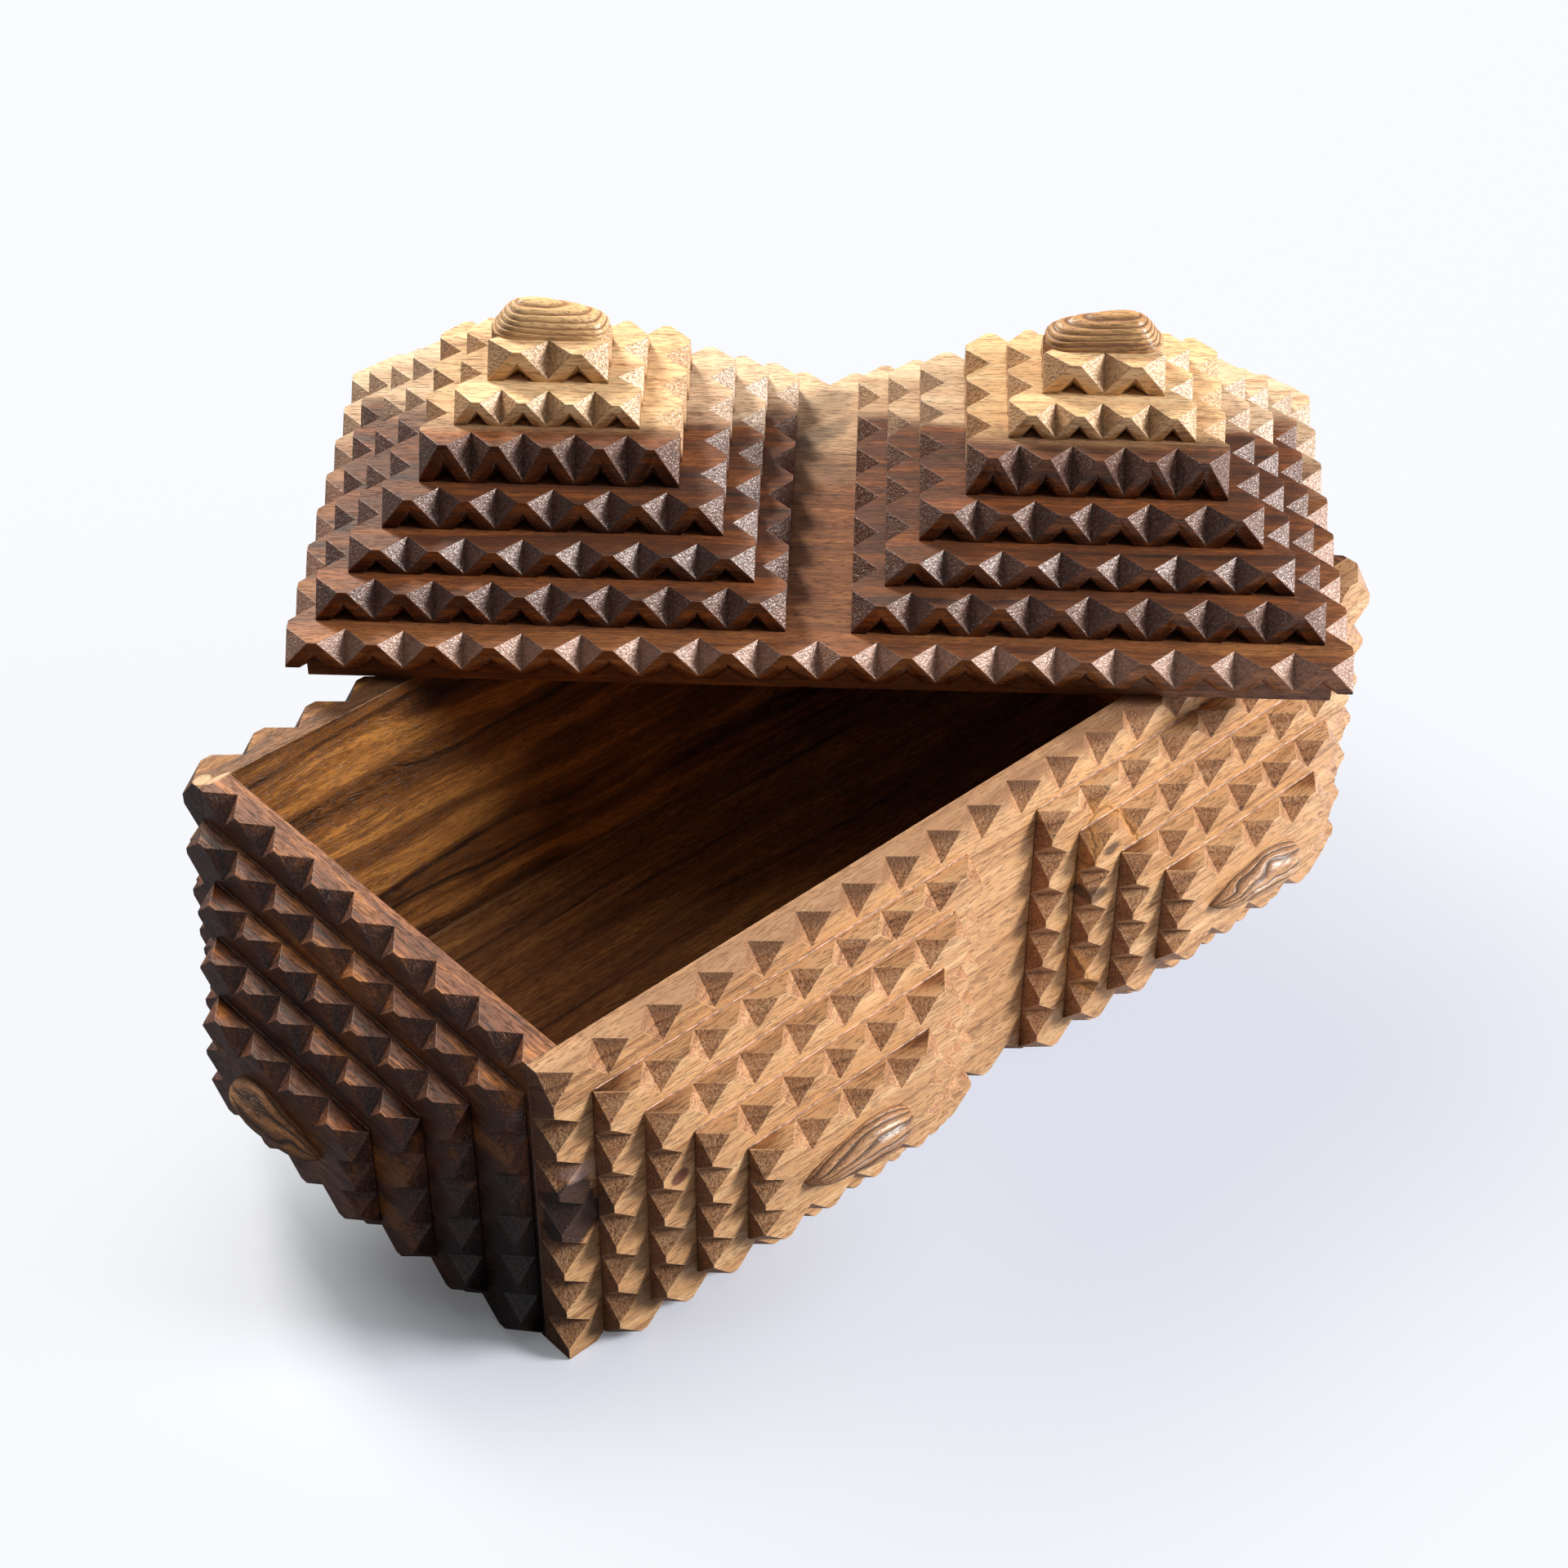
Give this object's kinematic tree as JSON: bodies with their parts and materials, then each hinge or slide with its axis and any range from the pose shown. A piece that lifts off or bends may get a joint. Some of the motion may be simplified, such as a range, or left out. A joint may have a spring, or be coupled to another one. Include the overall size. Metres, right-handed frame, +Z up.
{
  "type": "dice box",
  "caption": "Wooden game box for dice with a loose lift-off lid, both covered in stepped pyramids of notch-carved boards.",
  "frame": {"origin": "middle of the box's underside", "axes": "+X along the box's length, -Y out of the front, +Z up"},
  "size_m": [0.4673, 0.3718, 0.2216],
  "materials": {
    "floor_board": "semi-gloss lacquer, rubbed at the arrises",
    "side_walls": "semi-gloss lacquer, rubbed at the arrises",
    "end_walls": "semi-gloss lacquer, rubbed at the arrises",
    "side_pyramids": "semi-gloss lacquer, rubbed at the arrises",
    "end_pyramids": "semi-gloss lacquer, rubbed at the arrises",
    "knobs": "semi-gloss lacquer, rubbed at the arrises",
    "lid_board": "semi-gloss lacquer, rubbed at the arrises",
    "lid_plate": "semi-gloss lacquer, rubbed at the arrises",
    "lid_pyramids": "semi-gloss lacquer, rubbed at the arrises",
    "domes": "semi-gloss lacquer, rubbed at the arrises"
  },
  "bodies": {
    "box": {"back_left_knob": "knobs", "back_left_tier_1": "side_pyramids", "back_left_tier_2": "side_pyramids", "back_left_tier_3": "side_pyramids", "back_left_tier_4": "side_pyramids", "back_right_knob": "knobs", "back_right_tier_1": "side_pyramids", "back_right_tier_2": "side_pyramids", "back_right_tier_3": "side_pyramids", "back_right_tier_4": "side_pyramids", "back_wall": "side_walls", "bottom_panel": "floor_board", "front_left_knob": "knobs", "front_left_tier_1": "side_pyramids", "front_left_tier_2": "side_pyramids", "front_left_tier_3": "side_pyramids", "front_left_tier_4": "side_pyramids", "front_right_knob": "knobs", "front_right_tier_1": "side_pyramids", "front_right_tier_2": "side_pyramids", "front_right_tier_3": "side_pyramids", "front_right_tier_4": "side_pyramids", "front_wall": "side_walls", "left_knob": "knobs", "left_tier_1": "end_pyramids", "left_tier_2": "end_pyramids", "left_tier_3": "end_pyramids", "left_tier_4": "end_pyramids", "left_wall": "end_walls", "right_knob": "knobs", "right_tier_1": "end_pyramids", "right_tier_2": "end_pyramids", "right_tier_3": "end_pyramids", "right_tier_4": "end_pyramids", "right_wall": "end_walls"},
    "lid": {"lid_board": "lid_board", "lid_left_dome": "domes", "lid_left_tier_1": "lid_pyramids", "lid_left_tier_2": "lid_pyramids", "lid_left_tier_3": "lid_pyramids", "lid_left_tier_4": "lid_pyramids", "lid_left_tier_5": "lid_pyramids", "lid_left_tier_6": "lid_pyramids", "lid_plate": "lid_plate", "lid_right_dome": "domes", "lid_right_tier_1": "lid_pyramids", "lid_right_tier_2": "lid_pyramids", "lid_right_tier_3": "lid_pyramids", "lid_right_tier_4": "lid_pyramids", "lid_right_tier_5": "lid_pyramids", "lid_right_tier_6": "lid_pyramids"}
  },
  "joints": [
    {"name": "lid_lift", "type": "slide", "parent": "box", "child": "lid", "axis": [0, 0, 1], "range_m": [0, 0.16]}
  ]
}
